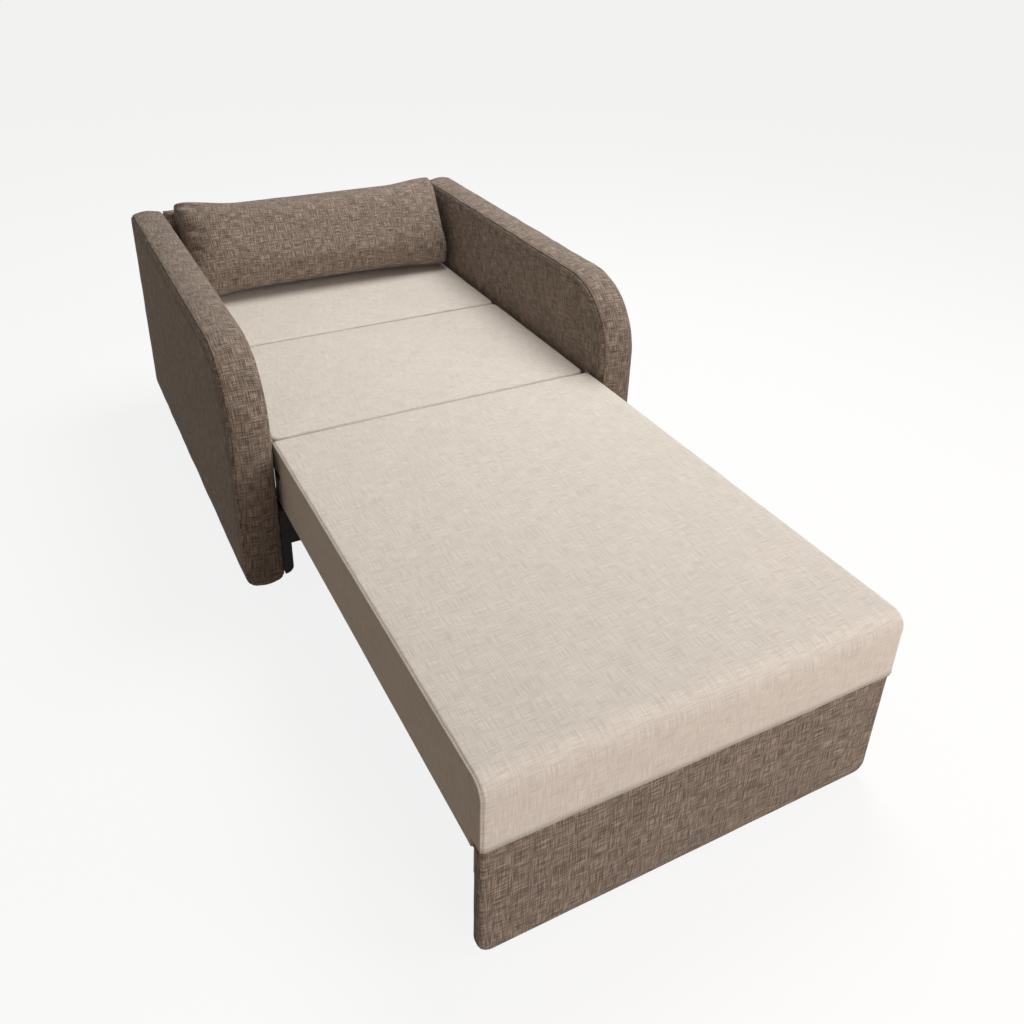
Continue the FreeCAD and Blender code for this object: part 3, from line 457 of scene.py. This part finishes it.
# Back: a thin padded board between the arms, in the same cloth
back = {
    "halfWidth": 0.4115, "frontY": 1.0075, "lowZ": 0.0605, "topZ": 0.6045, "step": 0.014, "fill": 0.9,
    "shape": {"thickness": 0.0275, "edge": 0.009, "rings": 14, "shallow": 0.011,
              "spine": (-0.14, 0.14, 0.33), "swellLow": 0.001, "swellHigh": 0.004,
              "swellReach": 0.06, "rough": 0.0008, "bandPieces": 3},
}
half = back["halfWidth"]
middleY = back["frontY"] + back["shape"]["thickness"] / 2
outline = roundedOutline(boxCorners(-half, back["lowZ"], half, back["topZ"]), (0, 0, 0, 0),
                         back["step"])
obj = paddedSlab("backUpholstery", outline, lambda a, b, h: Vector((a, middleY + h, b)), back["shape"])
finishPiece(obj, brownCloth, "base", "arm_fabric", back["fill"], "back_cover")

# Folding pads: foam slabs with softly rounded upper edges, nearly flat on top
foldingPad = {
    "halfWidth": 0.3995, "lowZ": 0.3202, "corner": 0.018, "step": 0.012, "spineHalf": 0.15, "fill": 0.95,
    "shape": {"thickness": 0.0622, "edge": 0.008, "rings": 18, "shallow": 0.0145, "swellLow": 0.0,
              "swellHigh": 0.0026, "swellReach": 0.05, "rough": 0.0009, "roughScale": 0.12,
              "bandPieces": 4},
}
half = foldingPad["halfWidth"]
middleZ = foldingPad["lowZ"] + foldingPad["shape"]["thickness"] / 2
for name, body, node, frontY, rearY, seed in (
        ("rearPadCover", "rear_section", "rear_pad", 0.4978, 0.9922, 3),
        ("middlePadCover", "middle_section", "middle_pad", -0.0022, 0.4922, 5)):
    outline = roundedOutline(boxCorners(-half, frontY, half, rearY), (foldingPad["corner"],) * 4,
                             foldingPad["step"])
    spine = (-foldingPad["spineHalf"], foldingPad["spineHalf"], (frontY + rearY) / 2)
    obj = paddedSlab(name, outline, lambda a, b, h: Vector((a, b, middleZ + h)),
                     {**foldingPad["shape"], "seed": seed, "spine": spine})
    finishPiece(obj, beigeCloth, body, "mattress_fabric", foldingPad["fill"], node)
print("folding pads made")

# Pull-out: one cloth rolls over the nose and down the apron, side panels are sewn on at the
# edge. Below, behind and under the apron it is open, with a hem along each side.
pullOut = {
    "frontY": -1.0355, "rearY": -0.0078, "apronZ": 0.2538, "skirtZ": 0.2352, "notchY": -1.0068,
    "topZ": 0.3852, "noseRound": 0.030, "rearRound": 0.012, "step": 0.014, "hem": 0.026,
    "openZ": 0.318, "near": 0.006, "notchDrop": 0.002, "fill": 0.95,
    "shape": {"thickness": 0.803, "edge": 0.007, "seamAngle": 66, "seamDepth": -0.0024,
              "seamWide": 24, "rings": 14, "shallow": 0.009, "spine": (-0.985, -0.055, 0.312),
              "swellLow": 0.0012, "swellHigh": 0.0012, "swellReach": 0.03, "rough": 0.0007,
              "roughScale": 0.12, "bandPieces": 44, "crown": 0.0015},
}
corners = ((pullOut["notchY"], pullOut["skirtZ"]), (pullOut["rearY"], pullOut["skirtZ"]),
           (pullOut["rearY"], pullOut["topZ"]), (pullOut["frontY"], pullOut["topZ"]),
           (pullOut["frontY"], pullOut["apronZ"]), (pullOut["notchY"], pullOut["apronZ"]))
outline = roundedOutline(corners, (0, 0, pullOut["rearRound"], pullOut["noseRound"], 0, 0),
                         pullOut["step"])
seatCover = paddedSlab("pullOutCover", outline, lambda a, b, h: Vector((h, a, b)), pullOut["shape"])
mesh = bmesh.new()
mesh.from_mesh(seatCover.data)
near = pullOut["near"]
inner = pullOut["shape"]["thickness"] / 2 - pullOut["hem"]
openFaces = []
for face in mesh.faces:
    center = face.calc_center_median()
    below = center.z < pullOut["skirtZ"] + near and center.y > pullOut["notchY"]
    behind = center.y > pullOut["rearY"] - near and center.z < pullOut["openZ"]
    notch = (abs(center.y - pullOut["notchY"]) < near
             and center.z < pullOut["apronZ"] - pullOut["notchDrop"])
    if abs(center.x) <= inner and (below or behind or notch):
        openFaces.append(face)
bmesh.ops.delete(mesh, geom=openFaces, context="FACES")
mesh.to_mesh(seatCover.data)
mesh.free()
finishPiece(seatCover, beigeCloth, "seat_section", "mattress_fabric", pullOut["fill"], "seat_pad",
            "seat_apron")

# Front panel: a board in brown cloth, soft edges and round lower corners
frontPanel = {
    "halfWidth": 0.4012, "frontY": -1.0325, "lowZ": 0.0142, "topZ": 0.2532, "corner": 0.025,
    "step": 0.012, "fill": 0.95,
    "shape": {"thickness": 0.0254, "edge": 0.0085, "rings": 10, "shallow": 0.0105,
              "spine": (-0.28, 0.28, 0.134), "swellLow": 0.0022, "swellHigh": 0.0,
              "swellReach": 0.03, "rough": 0.0006, "bandPieces": 3},
}
half = frontPanel["halfWidth"]
panelY = frontPanel["frontY"] + frontPanel["shape"]["thickness"] / 2
outline = roundedOutline(boxCorners(-half, frontPanel["lowZ"], half, frontPanel["topZ"]),
                         (frontPanel["corner"], frontPanel["corner"], 0, 0), frontPanel["step"])
obj = paddedSlab("frontPanelCover", outline, lambda a, b, h: Vector((a, panelY + h, b)),
                 frontPanel["shape"])
finishPiece(obj, brownCloth, "seat_section", "arm_fabric", frontPanel["fill"], "front_panel")
print("pull-out made")

# Loose pillow: two panels sewn all round, blown up by a cloth simulation, leaning on the back.
# A crease runs from its first point to its second, then come its depth and width.
pillow = {
    "halfWidth": 0.404, "halfHeight": 0.137, "bulge": 0.076, "centerY": 0.8915, "centerZ": 0.5150,
    "lean": 32, "columns": 136, "rows": 52, "pullIn": 0.014, "pullInPower": 8, "tip": 0.013,
    "tipPower": 12, "crownPower": 2.8, "leftPower": 16, "rightPower": 60,
    "ears": ((-1, 1, 0.020), (1, 1, 0.010), (-1, -1, 0.006), (1, -1, 0.012)), "earPowers": (3, 2),
    "clothWidth": 0.86, "clothHeight": 0.34, "clothShift": 0.6,
    "pressure": 4.0, "cap": 0.012, "frames": 20, "quality": 6, "stiffness": 18, "bending": 0.4,
    "creases": ((-0.395, 0.135, -0.320, 0.112, 0.017, 0.008),
                (-0.398, 0.070, -0.325, 0.030, 0.018, 0.009),
                (-0.398, 0.010, -0.340, -0.012, 0.009, 0.009),
                (0.398, -0.128, 0.345, -0.085, 0.016, 0.008),
                (0.398, 0.125, 0.355, 0.085, 0.008, 0.009),
                (0.398, -0.050, 0.360, -0.035, 0.007, 0.009)),
    "creaseFade": 0.7, "backLimit": 1.0062, "seatLimit": 0.3865, "sideLimit": 0.4075,
    "fill": 0.7,
}


def pillowPoint(i, j, sign):
    u = 2 * i / pillow["columns"] - 1
    v = 2 * j / pillow["rows"] - 1
    pull = pillow["pullIn"] * abs(u) ** pillow["pullInPower"] * (1 - v * v)
    tip = pillow["tip"] * (abs(u) * abs(v)) ** pillow["tipPower"]
    x = pillow["halfWidth"] * u - math.copysign(pull + tip, u)
    z = pillow["halfHeight"] * v - math.copysign(tip, v)
    powerU, powerV = pillow["earPowers"]
    for endways, upward, reach in pillow["ears"]:
        if u * endways > 0 and v * upward > 0:
            z += upward * reach * abs(u) ** powerU * abs(v) ** powerV
    endPower = pillow["leftPower"] if u < 0 else pillow["rightPower"]
    fullness = max(0.0, 1 - abs(v) ** pillow["crownPower"]) * max(0.0, 1 - abs(u) ** endPower)
    return Vector((x, sign * pillow["bulge"] * math.sqrt(fullness), z))


def creaseDepth(x, z):
    depth = 0.0
    for x0, z0, x1, z1, deep, wide in pillow["creases"]:
        offset, along = Vector((x - x0, z - z0)), Vector((x1 - x0, z1 - z0))
        share = min(1.0, max(0.0, offset.dot(along) / along.length_squared))
        off = (offset - along * share).length
        depth += deep * (1 - share) ** pillow["creaseFade"] * math.exp(-(off / wide) ** 2)
    return depth


def inflate(obj):
    scene = bpy.context.scene
    cloth = obj.modifiers.new("Cloth", "CLOTH")
    cloth.settings.use_pressure = True
    cloth.settings.uniform_pressure_force = pillow["pressure"]
    cloth.settings.effector_weights.gravity = 0
    cloth.settings.quality = pillow["quality"]
    cloth.settings.tension_stiffness = pillow["stiffness"]
    cloth.settings.compression_stiffness = pillow["stiffness"]
    cloth.settings.bending_stiffness = pillow["bending"]
    cloth.point_cache.frame_start = 1
    cloth.point_cache.frame_end = pillow["frames"]
    for number in range(1, pillow["frames"] + 1):
        scene.frame_set(number)
    shown = obj.evaluated_get(bpy.context.evaluated_depsgraph_get())
    moved = [vert.co.copy() for vert in shown.data.vertices]
    obj.modifiers.remove(cloth)
    scene.frame_set(1)
    for vert, new in zip(obj.data.vertices, moved):
        step = new - vert.co
        if step.length > pillow["cap"]:
            step *= pillow["cap"] / step.length
        vert.co = vert.co + step


columns, rows = pillow["columns"], pillow["rows"]
mesh = bmesh.new()
uvLayer = mesh.loops.layers.uv.new("weave")
rim = {}
for sign in (-1, 1):
    grid = dict(rim)
    for i in range(columns + 1):
        for j in range(rows + 1):
            if (i, j) not in grid:
                grid[i, j] = mesh.verts.new(pillowPoint(i, j, sign))
            if i in (0, columns) or j in (0, rows):
                rim[i, j] = grid[i, j]
    for i in range(columns):
        for j in range(rows):
            places = ((i, j), (i + 1, j), (i + 1, j + 1), (i, j + 1))
            face = mesh.faces.new([grid[place] for place in places])
            face.smooth = True
            for loop, (a, b) in zip(face.loops, places):
                loop[uvLayer].uv = (a / columns * pillow["clothWidth"] + sign,
                                    b / rows * pillow["clothHeight"] + pillow["clothShift"])
bmesh.ops.recalc_face_normals(mesh, faces=mesh.faces)
loosePillow = newObject("loosePillow", mesh)
inflate(loosePillow)
for vert in loosePillow.data.vertices:
    depth = min(abs(vert.co.y), creaseDepth(vert.co.x, vert.co.z))
    vert.co.y -= math.copysign(depth, vert.co.y)
loosePillow.data.transform(Matrix.Translation((0, pillow["centerY"], pillow["centerZ"]))
                           @ Matrix.Rotation(math.radians(-pillow["lean"]), 4, "X"))
for vert in loosePillow.data.vertices:
    vert.co.x = max(-pillow["sideLimit"], min(pillow["sideLimit"], vert.co.x))
    vert.co.y = min(vert.co.y, pillow["backLimit"])
    vert.co.z = max(vert.co.z, pillow["seatLimit"])
smooth = loosePillow.modifiers.new("Soft", "SUBSURF")
smooth.levels = 1
smooth.render_levels = 1
finishPiece(loosePillow, brownCloth, "pillow", "arm_fabric", pillow["fill"], "pillow")
print("pillow made")

# Floor: pale to the camera, so it runs into the white room, and brown in what it reflects
room = {
    "reach": 90, "floor": "#7d6c58", "roughness": 0.9, "seenFloor": "#f8f8f8", "glow": 0.86,
    "wall": "#ffecd8", "wallLight": 0.22,
}
reach = room["reach"]
mesh = bmesh.new()
mesh.faces.new([mesh.verts.new((x, y, 0)) for x, y in boxCorners(-reach, -reach, reach, reach)])
floor = newObject("floor", mesh)
material, tree, shader = newMaterial("paleFloor")
shader.inputs["Base Color"].default_value = hexColor(room["floor"])
shader.inputs["Roughness"].default_value = room["roughness"]
path = addNode(tree, "ShaderNodeLightPath")
seen = addNode(tree, "ShaderNodeMath", {"operation": "MAXIMUM"}, in0=path.outputs["Is Camera Ray"],
               in1=path.outputs["Is Glossy Ray"])
pale = addNode(tree, "ShaderNodeBsdfDiffuse", Color=hexColor(room["seenFloor"]))
glow = addNode(tree, "ShaderNodeEmission", Color=white, Strength=1.0)
bright = addNode(tree, "ShaderNodeMixShader", in0=room["glow"], in1=pale.outputs[0],
                 in2=glow.outputs[0])
both = addNode(tree, "ShaderNodeMixShader", in0=seen.outputs[0], in1=shader.outputs[0],
               in2=bright.outputs[0])
tree.links.new(both.outputs[0], tree.nodes["Material Output"].inputs["Surface"])
floor.data.materials.append(material)

# Room: white where it is seen, a dim warm light on the rest
world = bpy.data.worlds.new("room")
bpy.context.scene.world = world
world.use_nodes = True
tree = world.node_tree
tree.nodes.clear()
path = addNode(tree, "ShaderNodeLightPath")
seen = addNode(tree, "ShaderNodeMath", {"operation": "MAXIMUM"}, in0=path.outputs["Is Camera Ray"],
               in1=path.outputs["Is Glossy Ray"])
seen = addNode(tree, "ShaderNodeMath", {"operation": "MAXIMUM"}, in0=seen.outputs[0],
               in1=path.outputs["Is Transmission Ray"])
ambient = addNode(tree, "ShaderNodeBackground", Color=hexColor(room["wall"]),
                  Strength=room["wallLight"])
backdrop = addNode(tree, "ShaderNodeBackground", Color=white, Strength=1.0)
both = addNode(tree, "ShaderNodeMixShader", in0=seen.outputs[0], in1=ambient.outputs[0],
               in2=backdrop.outputs[0])
out = addNode(tree, "ShaderNodeOutputWorld")
tree.links.new(both.outputs[0], out.inputs["Surface"])

# Lamps: name, place, what it points at, size, power and tint
lamps = (
    ("ceilingLamp", (1.0, 0.6, 2.9), (0, 0.1, 0.3), 1.8, 61, "#fffffd"),
    ("windowFill", (2.6, -2.6, 2.0), (0.1, -0.4, 0.3), 2.0, 40, "#fffcf8"),
    ("frontFill", (0.3, -4.3, 1.2), (0, -0.9, 0.3), 1.6, 62, "#fff7f3"),
)
for name, place, target, size, power, tint in lamps:
    lamp = bpy.data.lights.new(name, "AREA")
    lamp.shape = "DISK"
    lamp.size = size
    lamp.energy = power
    lamp.color = hexColor(tint)[:3]
    obj = bpy.data.objects.new(name, lamp)
    obj.location = place
    obj.rotation_euler = (Vector(target) - Vector(place)).to_track_quat("-Z", "Y").to_euler()
    bpy.context.scene.collection.objects.link(obj)

# Camera, fitted by least squares to the corners seen in the photo
view = {
    "place": (-0.8188, -1.8428, 1.4686), "lens": 34.18, "sensor": 36, "shiftX": 0.0118,
    "shiftY": -0.1132, "right": (0.8878242, -0.45969384, 0.02120774),
    "down": (-0.19858042, -0.4242851, -0.88348626), "ahead": (0.41513132, 0.78016904, -0.46797678),
}
lens = bpy.data.cameras.new("camera")
lens.lens = view["lens"]
lens.sensor_width = view["sensor"]
lens.shift_x = view["shiftX"]
lens.shift_y = view["shiftY"]
camera = bpy.data.objects.new("camera", lens)
turn = Matrix((view["right"], [-c for c in view["down"]], [-c for c in view["ahead"]])).transposed()
camera.matrix_world = Matrix.Translation(view["place"]) @ turn.to_4x4()
bpy.context.scene.collection.objects.link(camera)
bpy.context.scene.camera = camera
bpy.context.scene.view_settings.view_transform = "Standard"
print("room, lamps and camera set")
